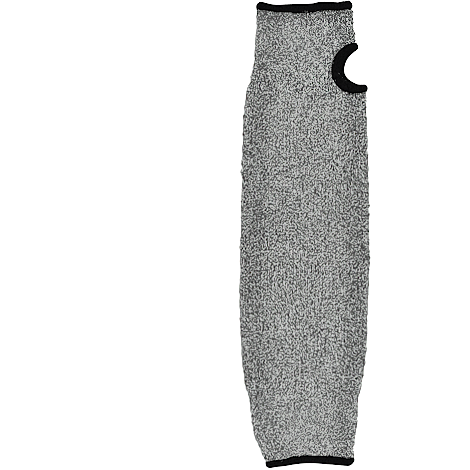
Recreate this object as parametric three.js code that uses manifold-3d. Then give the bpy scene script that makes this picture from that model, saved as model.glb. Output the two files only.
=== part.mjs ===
// Cut resistant sleeve: a knitted tube for the forearm with three bound edges, lying flat.
//
// Millimetres. X runs across the sleeve, with the thumb hole on the +X side. Y runs along it, with
// the hand opening at the +Y end. Z is up from the surface that the sleeve lies on. The origin is at
// the middle of the lowest face of the whole sleeve's bounding box.
//
// Everything is placed by one function, pointOnSleeve(turn, along, proud). The flattened tube is an
// under layer, an upper layer and a fold down each side. "turn" says how far round the tube a point
// is, "along" is its distance from the upper-arm opening, and "proud" is its height above the knit's
// outer face, negative into the wall.

import * as THREE from 'three';
import { mergeVertices } from 'three/addons/utils/BufferGeometryUtils.js';
import Module from 'manifold-3d';

// Overall sizes of the sleeve, lying flat
const SLEEVE_LENGTH = 450;
const FOREARM_WIDTH = 125;
const HAND_OPENING_WIDTH = 92.7;
const ARM_OPENING_WIDTH = 86;
const FOLD_HEIGHT = 12;
const CROWN_RISE = 5;
const KNIT_WALL = 2;

// How far the edge of each end opening wanders from straight across, and how far along the sleeve
// the knit still follows it
const HAND_EDGE_DIP = 4;
const ARM_EDGE_ARCH = 4.6;
const EDGE_FADE_LENGTH = 75;

// Length over which the knit comes down from a binding onto the surface that it lies on
const SETTLE_LENGTH = 23;

// The binding that is folded round every cut edge
const BINDING_WIDTH = 7.7;
const BINDING_LEG = 0.7;
const BINDING_CLEARANCE = 0.3;

// Rounding of the binding's fold, as shares of its half thickness
const BINDING_FOLD = [
  { inward: 0.00, proud: 0.30 },
  { inward: 0.14, proud: 0.75 },
  { inward: 0.45, proud: 1.00 },
];

// The thumb hole, which straddles the fold: its middle's distance from the hand opening, its length
// along the fold, and how far round the tube it reaches into each layer
const THUMB_HOLE_FROM_HAND = 63.4;
const THUMB_HOLE_LENGTH = 36;
const THUMB_HOLE_UPPER_REACH = 27.6;
const THUMB_HOLE_UNDER_REACH = 22.4;

// Outline and crown, from the upper-arm opening to the hand opening. "along" is a share of the
// length. "outer" and "thumb" are the distances from the middle line to the two sides, as shares of
// the width that the row follows. "crown" is a share of the crown's rise.
const SECTIONS = [
  { along: 0.000, width: ARM_OPENING_WIDTH, outer: 0.420, thumb: 0.552, crown: 0.10 },
  { along: 0.030, width: ARM_OPENING_WIDTH, outer: 0.479, thumb: 0.557, crown: 0.20 },
  { along: 0.052, width: ARM_OPENING_WIDTH, outer: 0.528, thumb: 0.563, crown: 0.30 },
  { along: 0.073, width: ARM_OPENING_WIDTH, outer: 0.570, thumb: 0.588, crown: 0.40 },
  { along: 0.120, width: ARM_OPENING_WIDTH, outer: 0.601, thumb: 0.598, crown: 0.62 },
  { along: 0.150, width: ARM_OPENING_WIDTH, outer: 0.628, thumb: 0.606, crown: 0.75 },
  { along: 0.175, width: FOREARM_WIDTH, outer: 0.458, thumb: 0.443, crown: 0.83 },
  { along: 0.210, width: FOREARM_WIDTH, outer: 0.478, thumb: 0.463, crown: 0.92 },
  { along: 0.270, width: FOREARM_WIDTH, outer: 0.493, thumb: 0.485, crown: 0.98 },
  { along: 0.350, width: FOREARM_WIDTH, outer: 0.499, thumb: 0.493, crown: 1.00 },
  { along: 0.460, width: FOREARM_WIDTH, outer: 0.495, thumb: 0.505, crown: 1.00 },
  { along: 0.600, width: FOREARM_WIDTH, outer: 0.486, thumb: 0.498, crown: 0.97 },
  { along: 0.720, width: FOREARM_WIDTH, outer: 0.474, thumb: 0.486, crown: 0.84 },
  { along: 0.785, width: FOREARM_WIDTH, outer: 0.457, thumb: 0.479, crown: 0.72 },
  { along: 0.812, width: FOREARM_WIDTH, outer: 0.442, thumb: 0.482, crown: 0.64 },
  { along: 0.835, width: FOREARM_WIDTH, outer: 0.419, thumb: 0.472, crown: 0.57 },
  { along: 0.870, width: HAND_OPENING_WIDTH, outer: 0.525, thumb: 0.600, crown: 0.45 },
  { along: 0.905, width: HAND_OPENING_WIDTH, outer: 0.517, thumb: 0.549, crown: 0.34 },
  { along: 0.930, width: HAND_OPENING_WIDTH, outer: 0.505, thumb: 0.522, crown: 0.26 },
  { along: 0.965, width: HAND_OPENING_WIDTH, outer: 0.500, thumb: 0.508, crown: 0.16 },
  { along: 1.000, width: HAND_OPENING_WIDTH, outer: 0.490, thumb: 0.490, crown: 0.10 },
];

// Edge of each end opening. "across" is a share of the width there, from -0.5 on the outer side to
// 0.5 on the thumb side. "inset" is how far the edge is drawn in, as a share of the named dip or arch.
const HAND_EDGE = [
  { across: -0.50, inset: 0.12 },
  { across: -0.26, inset: 1.00 },
  { across: -0.05, inset: 0.72 },
  { across: 0.22, inset: 0.20 },
  { across: 0.42, inset: 0.20 },
  { across: 0.50, inset: 0.00 },
];
const ARM_EDGE = [
  { across: -0.50, inset: 0.00 },
  { across: -0.32, inset: 0.25 },
  { across: -0.15, inset: 0.66 },
  { across: 0.04, inset: 0.96 },
  { across: 0.16, inset: 1.00 },
  { across: 0.33, inset: 0.72 },
  { across: 0.44, inset: 0.50 },
  { across: 0.50, inset: 0.70 },
];

// Outline of the thumb hole, anticlockwise with "around" to the right and "along" up. "around" is a
// share of the reach into the upper layer where it is positive and into the under layer where it is
// negative. "along" is a share of the hole's length, from its middle towards the hand.
const THUMB_HOLE = [
  { around: 0.00, along: 0.50 },
  { around: -0.38, along: 0.42 },
  { around: -0.73, along: 0.245 },
  { around: -0.95, along: 0.02 },
  { around: -1.00, along: -0.15 },
  { around: -0.90, along: -0.29 },
  { around: -0.57, along: -0.43 },
  { around: -0.25, along: -0.48 },
  { around: 0.00, along: -0.475 },
  { around: 0.40, along: -0.49 },
  { around: 0.70, along: -0.455 },
  { around: 0.90, along: -0.375 },
  { around: 1.00, along: -0.25 },
  { around: 0.97, along: -0.10 },
  { around: 0.85, along: 0.11 },
  { around: 0.61, along: 0.31 },
  { around: 0.29, along: 0.455 },
];

// Fineness of the facets
const FOLD_STEPS = 5;
const LAYER_STEPS = 10;
const FOREARM_STEPS = 20;
const HAND_END_STEPS = 20;
const BAND_STEPS = 1;
const THUMB_HOLE_STEPS = 60;
const FOLD_CROWDING = 0.5;
const PLUG_RINGS = 7;

// Worked out from the sizes above
const foldRadius = FOLD_HEIGHT / 2;
const foldQuarter = (foldRadius * Math.PI) / 2;
const bindingStandsProud = BINDING_CLEARANCE + BINDING_LEG;
const knitEdgeInset = BINDING_LEG + BINDING_CLEARANCE;
const thumbHoleMiddle = SLEEVE_LENGTH - THUMB_HOLE_FROM_HAND;
const bandWithSlack = BINDING_WIDTH + 2 * BINDING_CLEARANCE;
const thumbHoleStart = thumbHoleMiddle - THUMB_HOLE_LENGTH / 2 - bandWithSlack;

/**
 * Value of one column of a table at a place in it: a smooth curve through the rows that never
 * overshoots them. Its slope at a row is the harmonic mean of the slopes on both sides.
 */
function readTable(rows, key, column, place) {
  const last = rows.length - 1;
  if (place <= rows[0][key]) return rows[0][column];
  if (place >= rows[last][key]) return rows[last][column];
  const slopeAfter = (i) => (rows[i + 1][column] - rows[i][column]) / (rows[i + 1][key] - rows[i][key]);
  const slopeAt = (i) => {
    if (i === 0 || i === last) return 0;
    const before = slopeAfter(i - 1);
    const after = slopeAfter(i);
    return before * after > 0 ? (2 * before * after) / (before + after) : 0;
  };
  let i = 0;
  while (place > rows[i + 1][key]) i += 1;
  const span = rows[i + 1][key] - rows[i][key];
  const t = (place - rows[i][key]) / span;
  const rise = rows[i][column] + (rows[i + 1][column] - rows[i][column]) * t * t * (3 - 2 * t);
  return rise + span * t * (1 - t) * (slopeAt(i) * (1 - t) - slopeAt(i + 1) * t);
}

// The sections with their lengths in millimetres
const sections = SECTIONS.map((row) => ({
  along: row.along * SLEEVE_LENGTH,
  outer: row.outer * row.width,
  thumb: row.thumb * row.width,
  crown: row.crown * CROWN_RISE,
}));

/**
 * Height of the under layer above the surface. It is nothing along the forearm, and as much as the
 * binding stands proud at both ends and round the thumb hole, so that the bindings lie on the surface.
 */
function lift(along) {
  const armEnd = 1 - THREE.MathUtils.smoothstep(along, bandWithSlack, bandWithSlack + SETTLE_LENGTH);
  const handEnd = THREE.MathUtils.smoothstep(along, thumbHoleStart - SETTLE_LENGTH, thumbHoleStart);
  return bindingStandsProud * Math.max(armEnd, handEnd);
}

/** Shape of the flattened tube at a distance from the upper-arm opening. */
function sectionAt(along) {
  return {
    outer: readTable(sections, 'along', 'outer', along),
    thumb: readTable(sections, 'along', 'thumb', along),
    crown: readTable(sections, 'along', 'crown', along),
    lift: lift(along),
  };
}

/** How far along the sleeve a point is moved, because the edge of the near end isn't straight across. */
function endInset(x, along, section) {
  const width = section.outer + section.thumb;
  const across = (x - (section.thumb - section.outer) / 2) / width;
  const armFade = 1 - THREE.MathUtils.smoothstep(along, 0, EDGE_FADE_LENGTH);
  const handFade = 1 - THREE.MathUtils.smoothstep(SLEEVE_LENGTH - along, 0, EDGE_FADE_LENGTH);
  const armInset = armFade * ARM_EDGE_ARCH * readTable(ARM_EDGE, 'across', 'inset', across);
  const handInset = handFade * HAND_EDGE_DIP * readTable(HAND_EDGE, 'across', 'inset', across);
  return armInset - handInset;
}

/**
 * A point of the sleeve. The turn runs from 0 on the thumb side's fold line over the upper layer to
 * 3 on the outer side's fold line: 0 to 1 is the quarter round of the thumb side's fold, 1 to 2 the
 * flat of the layer, and 2 to 3 the quarter round of the outer side's fold. Negative turns run the
 * same way over the under layer. The upper layer is raised by the crown, which falls away from the
 * middle line with the fourth power of the distance.
 */
function pointOnSleeve(turn, along, proud) {
  const section = sectionAt(along);
  const { outer, thumb } = section;
  const layer = turn < 0 ? -1 : 1;
  const part = Math.abs(turn);
  const radius = foldRadius + proud;
  let x = 0;
  let rise = radius;
  let faceX = 0;
  if (part < 1) {
    const angle = (part * Math.PI) / 2;
    x = thumb - foldRadius + radius * Math.cos(angle);
    faceX = thumb - foldRadius + foldRadius * Math.cos(angle);
    rise = radius * Math.sin(angle);
  } else if (part <= 2) {
    x = THREE.MathUtils.lerp(thumb - foldRadius, foldRadius - outer, part - 1);
    faceX = x;
  } else {
    const angle = ((part - 2) * Math.PI) / 2;
    x = foldRadius - outer - radius * Math.sin(angle);
    faceX = foldRadius - outer - foldRadius * Math.sin(angle);
    rise = radius * Math.cos(angle);
  }
  const fromMiddle = (2 * faceX - thumb + outer) / (thumb + outer);
  const crown = layer > 0 ? section.crown * (1 - fromMiddle ** 4) : 0;
  const y = along + endInset(faceX, along, section);
  return new THREE.Vector3(x, y, section.lift + foldRadius + layer * rise + crown);
}

/** The turn of a point that lies a distance round the tube from the thumb side's fold line. */
function turnAt(around, along) {
  const section = sectionAt(along);
  const flat = section.outer + section.thumb - 2 * foldRadius;
  const distance = Math.abs(around);
  const turn = distance < foldQuarter ? distance / foldQuarter : 1 + (distance - foldQuarter) / flat;
  return Math.sign(around) * turn;
}

/**
 * Turns of the facets' edges: over the upper layer from the thumb side, and back under it. On the
 * flat of a layer they lie closer together towards the folds, as the crown bends most there.
 */
function turnsRound() {
  const over = [];
  for (let i = 0; i < FOLD_STEPS; i += 1) over.push(i / FOLD_STEPS);
  for (let i = 0; i < LAYER_STEPS; i += 1) over.push(1.5 - Math.cos((Math.PI * i) / LAYER_STEPS) / 2);
  for (let i = 0; i <= FOLD_STEPS; i += 1) over.push(2 + i / FOLD_STEPS);
  const under = over.slice(1, -1).map((turn) => -turn);
  return [...over, ...under.reverse()];
}

/**
 * Closed solid made by carrying a closed profile round a closed row of stations. place(station,
 * point) gives the vertex. Corners that fall on one spot, as at a pole, are merged.
 */
function closedSweep(stations, profile, place) {
  const positions = [];
  for (const station of stations) {
    for (const point of profile) positions.push(...place(station, point));
  }
  const corner = (i, j) => (i % stations.length) * profile.length + (j % profile.length);
  const index = [];
  for (let i = 0; i < stations.length; i += 1) {
    for (let j = 0; j < profile.length; j += 1) {
      index.push(corner(i, j), corner(i + 1, j), corner(i + 1, j + 1));
      index.push(corner(i, j), corner(i + 1, j + 1), corner(i, j + 1));
    }
  }
  const geometry = new THREE.BufferGeometry();
  geometry.setAttribute('position', new THREE.Float32BufferAttribute(positions, 3));
  geometry.setIndex(index);
  return withoutSlivers(mergeVertices(geometry, 1e-4));
}

/** The same geometry without the triangles that have two corners on one vertex. */
function withoutSlivers(geometry) {
  const old = geometry.getIndex().array;
  const kept = [];
  for (let i = 0; i < old.length; i += 3) {
    const [a, b, c] = [old[i], old[i + 1], old[i + 2]];
    if (a !== b && b !== c && c !== a) kept.push(a, b, c);
  }
  geometry.setIndex(kept);
  return geometry;
}

/**
 * Profile of the folded binding. "inward" is the distance from its fold into the fabric, and "proud"
 * the height above the knit's outer face. It is a U with a rounded fold: the fabric's edge lies in
 * it with the named clearance on both faces and at the bottom. The legs of a curved binding have a
 * bend at their middle.
 */
function bindingProfile(curved) {
  const middle = -KNIT_WALL / 2;
  const inside = KNIT_WALL / 2 + BINDING_CLEARANCE;
  const outside = inside + BINDING_LEG;
  const bevel = BINDING_LEG / 2;
  const legMiddle = curved ? [BINDING_WIDTH / 2] : [];
  const half = [
    ...BINDING_FOLD.map(({ inward, proud }) => ({ inward: inward * outside, proud: proud * outside })),
    ...legMiddle.map((inward) => ({ inward, proud: outside })),
    { inward: BINDING_WIDTH - bevel, proud: outside },
    { inward: BINDING_WIDTH, proud: outside - bevel },
    { inward: BINDING_WIDTH, proud: inside },
    ...legMiddle.map((inward) => ({ inward, proud: inside })),
    { inward: BINDING_LEG, proud: inside },
  ];
  const mirrored = half.map(({ inward, proud }) => ({ inward, proud: -proud })).reverse();
  return [...half, ...mirrored].map(({ inward, proud }) => ({ inward, proud: middle + proud }));
}

/** Distances along the sleeve of the facets' edges: closer together from the thumb hole on. */
function alongRows() {
  const stretches = [
    { start: knitEdgeInset, end: bandWithSlack, steps: BAND_STEPS },
    { start: bandWithSlack, end: thumbHoleStart, steps: FOREARM_STEPS },
    { start: thumbHoleStart, end: SLEEVE_LENGTH - bandWithSlack, steps: HAND_END_STEPS },
    { start: SLEEVE_LENGTH - bandWithSlack, end: SLEEVE_LENGTH - knitEdgeInset, steps: BAND_STEPS },
  ];
  const rows = [knitEdgeInset];
  for (const { start, end, steps } of stretches) {
    for (let i = 1; i <= steps; i += 1) rows.push(THREE.MathUtils.lerp(start, end, i / steps));
  }
  return rows;
}

/** The knitted wall as a plain tube, open at both ends. */
function plainTube() {
  const rows = alongRows();
  const outside = rows.toReversed().map((along) => ({ along, proud: 0 }));
  const inside = rows.map((along) => ({ along, proud: -KNIT_WALL }));
  return closedSweep(turnsRound(), [...outside, ...inside], (turn, { along, proud }) =>
    pointOnSleeve(turn, along, proud));
}

/** Binding round one end opening. edgeAt(inward) gives the distance along the sleeve. */
function endBinding(edgeAt, profile) {
  return closedSweep(turnsRound(), profile, (turn, { inward, proud }) =>
    pointOnSleeve(turn, edgeAt(inward), proud));
}

/**
 * Stations round the thumb hole: a point of its outline and the direction away from the hole. They
 * lie closer together at the two ends, where the edge crosses the fold.
 */
function thumbHoleStations() {
  const outline = new THREE.CatmullRomCurve3(
    THUMB_HOLE.map(({ around, along }) => {
      const reach = around > 0 ? THUMB_HOLE_UPPER_REACH : THUMB_HOLE_UNDER_REACH;
      return new THREE.Vector3(around * reach, thumbHoleMiddle + along * THUMB_HOLE_LENGTH, 0);
    }),
    true,
    'centripetal',
  );
  const stations = [];
  for (let i = 0; i < THUMB_HOLE_STEPS; i += 1) {
    const evenly = i / THUMB_HOLE_STEPS;
    const share = evenly - (FOLD_CROWDING * Math.sin(4 * Math.PI * evenly)) / (4 * Math.PI);
    const tangent = outline.getTangentAt(share);
    stations.push({
      point: outline.getPointAt(share),
      away: new THREE.Vector3(tangent.y, -tangent.x, 0),
    });
  }
  return stations;
}

/** Place of a point that lies inward of the thumb hole's edge, in the fabric. */
function pointByThumbHole({ point, away }, inward, proud) {
  const spot = point.clone().addScaledVector(away, inward);
  return pointOnSleeve(turnAt(spot.x, spot.y), spot.y, proud);
}

/** Binding round the thumb hole. */
function thumbBinding() {
  return closedSweep(thumbHoleStations(), bindingProfile(true), (station, { inward, proud }) =>
    pointByThumbHole(station, inward, proud));
}

/** Solid that cuts the thumb hole: rings that shrink to the hole's middle, above and below the wall. */
function thumbHolePlug() {
  const above = bindingStandsProud;
  const below = -KNIT_WALL - bindingStandsProud;
  const middle = new THREE.Vector3(0, thumbHoleMiddle, 0);
  const shares = Array.from({ length: PLUG_RINGS + 1 }, (_, i) => i / PLUG_RINGS);
  const profile = [
    ...shares.map((share) => ({ share, proud: above })),
    ...shares.toReversed().map((share) => ({ share, proud: below })),
  ];
  return closedSweep(thumbHoleStations(), profile, ({ point, away }, { share, proud }) => {
    const edge = point.clone().addScaledVector(away, knitEdgeInset);
    const spot = middle.clone().lerp(edge, share);
    return pointOnSleeve(turnAt(spot.x, spot.y), spot.y, proud);
  });
}

/** First solid with the second one cut out of it. */
function cut(wasm, geometry, tool) {
  const solid = (shape) => new wasm.Manifold(new wasm.Mesh({
    numProp: 3,
    vertProperties: shape.getAttribute('position').array,
    triVerts: Uint32Array.from(shape.getIndex().array),
  }));
  const mesh = solid(geometry).subtract(solid(tool)).getMesh();
  const result = new THREE.BufferGeometry();
  result.setAttribute('position', new THREE.BufferAttribute(mesh.vertProperties, 3));
  result.setIndex(new THREE.BufferAttribute(mesh.triVerts, 1));
  return result;
}

const wasm = await Module();
wasm.setup();

const greyKnit = new THREE.MeshStandardMaterial({ color: 0x8e908f, roughness: 0.95, metalness: 0 });
const blackThread = new THREE.MeshStandardMaterial({ color: 0x101012, roughness: 0.85, metalness: 0 });

const sleeve = new THREE.Group();

/** Adds one named piece to the sleeve. */
function addPiece(name, geometry, material) {
  geometry.computeVertexNormals();
  const piece = new THREE.Mesh(geometry, material);
  piece.name = name;
  sleeve.add(piece);
}

const endProfile = bindingProfile(false);
addPiece('knit_tube', cut(wasm, plainTube(), thumbHolePlug()), greyKnit);
addPiece('hand_binding', endBinding((inward) => SLEEVE_LENGTH - inward, endProfile), blackThread);
addPiece('arm_binding', endBinding((inward) => inward, endProfile.toReversed()), blackThread);
addPiece('thumb_binding', thumbBinding(), blackThread);

// The origin goes to the middle of the bounding box's lowest face
const box = new THREE.Box3().setFromObject(sleeve);
const middleOfBox = box.getCenter(new THREE.Vector3());
sleeve.position.set(-middleOfBox.x, -middleOfBox.y, -box.min.z);

export default sleeve;
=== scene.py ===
"""Cut resistant sleeve: the looks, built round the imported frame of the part.

Metres. X runs across the sleeve, with the thumb hole on the +X side, Y along it, with the hand opening
at the +Y end, and Z up from the floor. Every surface is placed by one function, on_sleeve, which says
where a point lies from how far round the flattened tube it is, how far along, and how proud of the
knit's outer face.
"""

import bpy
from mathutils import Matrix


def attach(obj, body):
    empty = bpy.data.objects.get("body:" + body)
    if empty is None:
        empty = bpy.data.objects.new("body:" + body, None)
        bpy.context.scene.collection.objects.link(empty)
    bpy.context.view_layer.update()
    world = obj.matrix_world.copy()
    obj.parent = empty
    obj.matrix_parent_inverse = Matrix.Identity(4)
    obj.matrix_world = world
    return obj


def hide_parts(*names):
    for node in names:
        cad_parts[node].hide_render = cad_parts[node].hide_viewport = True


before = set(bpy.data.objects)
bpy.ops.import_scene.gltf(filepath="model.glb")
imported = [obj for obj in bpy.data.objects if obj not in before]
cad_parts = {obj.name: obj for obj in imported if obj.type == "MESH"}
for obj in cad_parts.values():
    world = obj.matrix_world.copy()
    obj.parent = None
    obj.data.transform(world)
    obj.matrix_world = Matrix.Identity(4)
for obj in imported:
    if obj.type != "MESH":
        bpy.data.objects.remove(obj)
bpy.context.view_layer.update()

from types import SimpleNamespace

import bpy
import numpy as np
from bpy.props import FloatProperty, FloatVectorProperty, IntProperty, PointerProperty

bl_info = {
    "name": "Knitted forearm sleeve",
    "version": (1, 0, 0),
    "blender": (4, 5, 0),
    "location": "View3D > Sidebar > Sleeve",
    "description": "Builds a knitted cut resistant sleeve with overlocked edges, lying flat",
    "category": "Object",
}

TURN = 2 * np.pi
BODY = "root"
WHITE = (1.0, 1.0, 1.0, 1.0)
RING = 4  # corners of the ring round a thread
SEGMENTS = 8  # lengths of yarn to a stitch
OUTLINE_STEPS = 720  # points on the thumb hole's outline
NOSE = 0.0022  # how far the fold of a bound edge reaches in, in metres

# Seeds of the random draws
KNIT_SEED = 41
YARN_SEED = 43
HAND_SEED = 11
ARM_SEED = 12
THUMB_SEED = 13
LOOPER_SEED = 7

# The panels of the knit, in their order round the tube from the thumb side's fold line
PANELS = ("knit_upper_thumb_side", "knit_upper_outer_side", "knit_under_outer_side", "knit_under_thumb_side")

# Outline and crown, from the upper-arm opening to the hand opening: place as a share of the length,
# the width that the row follows, the distances from the middle line to the outer and the thumb side
# as shares of that width, and the crown as a share of its rise
ARM, FOREARM, HAND = range(3)
SECTIONS = np.array([
    (0.000, ARM, 0.420, 0.552, 0.10), (0.030, ARM, 0.479, 0.557, 0.20),
    (0.052, ARM, 0.528, 0.563, 0.30), (0.073, ARM, 0.570, 0.588, 0.40),
    (0.120, ARM, 0.601, 0.598, 0.62), (0.150, ARM, 0.628, 0.606, 0.75),
    (0.175, FOREARM, 0.458, 0.443, 0.83), (0.210, FOREARM, 0.478, 0.463, 0.92),
    (0.270, FOREARM, 0.493, 0.485, 0.98), (0.350, FOREARM, 0.499, 0.493, 1.00),
    (0.460, FOREARM, 0.495, 0.505, 1.00), (0.600, FOREARM, 0.486, 0.498, 0.97),
    (0.720, FOREARM, 0.474, 0.486, 0.84), (0.785, FOREARM, 0.457, 0.479, 0.72),
    (0.812, FOREARM, 0.442, 0.482, 0.64), (0.835, FOREARM, 0.419, 0.472, 0.57),
    (0.870, HAND, 0.525, 0.600, 0.45), (0.905, HAND, 0.517, 0.549, 0.34),
    (0.930, HAND, 0.505, 0.522, 0.26), (0.965, HAND, 0.500, 0.508, 0.16),
    (1.000, HAND, 0.490, 0.490, 0.10),
])

# How far each end's edge is drawn in, as a share of its dip or arch, by the share of the width there
HAND_EDGE = np.array([
    (-0.50, 0.12), (-0.26, 1.00), (-0.05, 0.72), (0.22, 0.20), (0.42, 0.20), (0.50, 0.00),
])
ARM_EDGE = np.array([
    (-0.50, 0.00), (-0.32, 0.25), (-0.15, 0.66), (0.04, 0.96),
    (0.16, 1.00), (0.33, 0.72), (0.44, 0.50), (0.50, 0.70),
])

# Outline of the thumb hole: shares of its reach round the tube, positive over the upper layer, and
# shares of its length from its middle towards the hand
THUMB_HOLE = np.array([
    (0.00, 0.50), (-0.38, 0.42), (-0.73, 0.245), (-0.95, 0.02), (-1.00, -0.15), (-0.90, -0.29),
    (-0.57, -0.43), (-0.25, -0.48), (0.00, -0.475), (0.40, -0.49), (0.70, -0.455), (0.90, -0.375),
    (1.00, -0.25), (0.97, -0.10), (0.85, 0.11), (0.61, 0.31), (0.29, 0.455),
])

# How much wider or narrower the thumb binding is at each point of that outline, in metres
THUMB_WIDER = np.array([
    -0.0030, -0.0008, 0.0, 0.0005, 0.0008, 0.0010, 0.0008, -0.0002, -0.0030,
    0.0004, 0.0014, 0.0017, 0.0010, 0.0005, -0.0002, -0.0014, -0.0016,
])

# The same for the bindings of both ends, and how much further each end's bound edge is drawn in, by the
# share of the width there, in metres
HAND_WIDER = np.array([
    (-0.50, -0.0004), (-0.42, -0.0002), (-0.34, -0.0012), (-0.235, -0.0009), (-0.11, 0.0005),
    (0.00, 0.0014), (0.09, 0.0003), (0.20, 0.0002), (0.33, -0.0003), (0.50, -0.0009),
])
ARM_WIDER = np.array([
    (-0.50, -0.0036), (-0.45, -0.0028), (-0.39, -0.0018), (-0.32, -0.0025), (-0.25, -0.0018),
    (-0.16, -0.0004), (-0.05, -0.0002), (0.06, -0.0007), (0.14, 0.0002), (0.28, 0.0),
    (0.38, -0.0007), (0.46, -0.0016), (0.50, -0.0018),
])
HAND_TRIM = np.array([
    (-0.50, 0.0), (-0.42, 0.0008), (-0.36, 0.0008), (-0.28, 0.0004), (-0.17, 0.0), (-0.05, 0.0004),
    (0.02, 0.0011), (0.08, 0.0011), (0.14, 0.0004), (0.20, 0.0005), (0.27, 0.0008), (0.33, 0.0013),
    (0.38, 0.0004), (0.46, 0.0), (0.50, 0.0),
])
ARM_TRIM = np.array([
    (-0.50, 0.0), (-0.35, 0.0012), (-0.20, 0.0013), (-0.08, 0.0014), (0.04, 0.0008), (0.19, -0.0006),
    (0.33, 0.0), (0.50, 0.0006),
])


def metres(name, description, default):
    """A length in metres that a user may change."""
    return FloatProperty(name=name, description=description, default=default, min=0.0, precision=5,
                         unit="LENGTH", subtype="DISTANCE")


def plain(name, description, default):
    """A bare number that a user may change."""
    return FloatProperty(name=name, description=description, default=default)


def count(name, description, default):
    """A whole number that a user may change."""
    return IntProperty(name=name, description=description, default=default, min=1)


def colour(name, description, default):
    """A colour that a user may change, in linear light."""
    return FloatVectorProperty(name=name, description=description, default=default, size=3,
                               min=0.0, max=1.0, subtype="COLOR")


class SleeveShape(bpy.types.PropertyGroup):
    """Sizes of the sleeve as it lies flat, the same as in its solids."""

    length: metres("Length", "From the upper-arm opening to the hand opening", 0.450)
    forearm_width: metres("Forearm width", "Widest part, lying flat", 0.125)
    hand_width: metres("Hand opening", "Width of the hand opening, lying flat", 0.0927)
    arm_width: metres("Arm opening", "Width of the upper-arm opening, lying flat", 0.086)
    fold_height: metres("Fold height", "Height of the fold down each side", 0.012)
    crown_rise: metres("Crown rise", "How far the upper layer is raised in its middle", 0.005)
    wall: metres("Wall", "Thickness of the knitted wall", 0.002)
    hand_dip: metres("Hand edge dip", "How far the hand opening's edge is drawn in", 0.004)
    arm_arch: metres("Arm edge arch", "How far the arm opening's edge is drawn in", 0.0046)
    edge_fade: metres("Edge fade", "Length over which the knit still follows an uneven edge", 0.075)
    settle: metres("Settle length", "Length over which the knit comes down behind a binding", 0.023)
    band: metres("Binding width", "Width of the bound edges", 0.0077)
    band_leg: metres("Binding leg", "Thickness of one leg of a bound edge", 0.0007)
    band_slack: metres("Binding clearance", "Room between a bound edge's solid and the knit", 0.0003)
    hole_from_hand: metres("Thumb hole place", "From the hand opening to the hole's middle", 0.0634)
    hole_length: metres("Thumb hole length", "Length of the hole along the fold", 0.036)
    hole_upper: metres("Upper reach", "How far the hole reaches into the upper layer", 0.0276)
    hole_under: metres("Under reach", "How far the hole reaches into the under layer", 0.0224)
    corner_round: metres("Corner round", "How far a bound end is drawn in where the tube folds", 0.0020)
    hole_round: metres("Thumb hole round", "How far the hole's arm side is drawn in at the fold", 0.0016)


class SleeveKnit(bpy.types.PropertyGroup):
    """The knit: its gauge, its yarn and the colours of its plies."""

    wales: count("Wales", "Stitches round the tube, a multiple of four", 76)
    course_pitch: metres("Course pitch", "Distance from one course to the next", 0.00287)
    loop_reach: plain("Loop reach", "Height of a loop's head over its middle, in course pitches", 0.86)
    loop_lean: plain("Loop lean", "How far a loop's legs lean apart, in wale pitches", 0.22)
    loop_squeeze: plain("Loop squeeze", "How far a loop's legs draw together, in wale pitches", 0.05)
    loop_depth: metres("Loop depth", "How far heads and feet lie behind the legs", 0.0017)
    legs_under_face: metres("Legs under face", "How deep the middle of a leg lies in the wall", 0.00025)
    yarn_width: metres("Yarn half width", "Half the width of the yarn, which lies flattened", 0.00068)
    yarn_height: metres("Yarn half height", "Half the height of the yarn", 0.00058)
    unevenness: metres("Unevenness", "How far stitches stray from their place", 0.00020)
    roughness: metres("Roughness", "How far stitches stand out of the face or sink into it", 0.00045)
    pressed: metres("Pressed yarn", "How much deeper the yarn lies under a bound edge", 0.0006)
    wander: metres("Wander", "How far wales and courses stray over a few centimetres", 0.00045)
    twist_pitch: metres("Twist pitch", "Length of one turn of the plies", 0.0036)
    ply_lay: plain("Ply lay", "How far the plies wind round the yarn, in turns", 0.22)
    light_ply: colour("Light ply", "Colour of the light ply", (0.625, 0.642, 0.632))
    dark_ply: colour("Dark ply", "Colour of the dark ply", (0.0204, 0.0210, 0.0207))
    # Painted shade: colour of the dark sheet behind the yarn, which stands in for shade in the stitches' gaps
    web: colour("Painted shade sheet", "Colour of the elastic thread behind the yarn", (0.0520, 0.0536, 0.0528))
    # Painted shade: how far the yarn's colour is darkened along both folds, standing in for shade there
    side_painted_shade: plain("Side painted shade", "How much more of the dark ply shows along both sides", 0.42)
    mingling: plain("Mingling", "How much the plies mingle where the knit is drawn in", 2.2)


class SleeveBinding(bpy.types.PropertyGroup):
    """The overlocked edges."""

    thread: colour("Thread", "Colour of the overlock thread", (0.0010, 0.0010, 0.0011))
    thread_radius: metres("Thread radius", "Radius of the overlock thread", 0.00034)
    thread_pitch: metres("Thread pitch", "Distance from one turn of thread to the next", 0.0015)
    thread_lean: metres("Thread lean", "How far a turn of thread leans along the edge", 0.0011)
    stitch_length: metres("Stitch length", "Length of a stitch of the needle thread", 0.0024)
    ragged: metres("Ragged border", "How unevenly the thread bites into the knit", 0.00050)
    ripple: metres("Ripple", "How far a bound edge strays from its line", 0.00014)


class SleeveStage(bpy.types.PropertyGroup):
    """Floor, light and camera."""

    floor: colour("Floor", "Colour of the floor", (0.90, 0.90, 0.90))
    sky: plain("Sky strength", "Strength of the even light from all sides", 0.30)
    overhead: plain("Overhead power", "Power of the lamp over the sleeve, in watts", 28.0)
    camera_x: plain("Camera x", "Where the camera stands across the sleeve, in metres", -0.0675)
    camera_y: plain("Camera y", "Where the camera stands along the sleeve, in metres", -0.0005)
    camera_height: metres("Camera height", "Height of the camera over the floor", 1.081)
    lens: plain("Lens", "Focal length in millimetres", 85.0)


def smoothstep(value, start, end):
    """0 before start and 1 after end, and s*s*(3 - 2s) between them, where s is the share of the way."""
    share = np.clip((value - start) / (end - start), 0, 1)
    return share * share * (3 - 2 * share)


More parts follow.
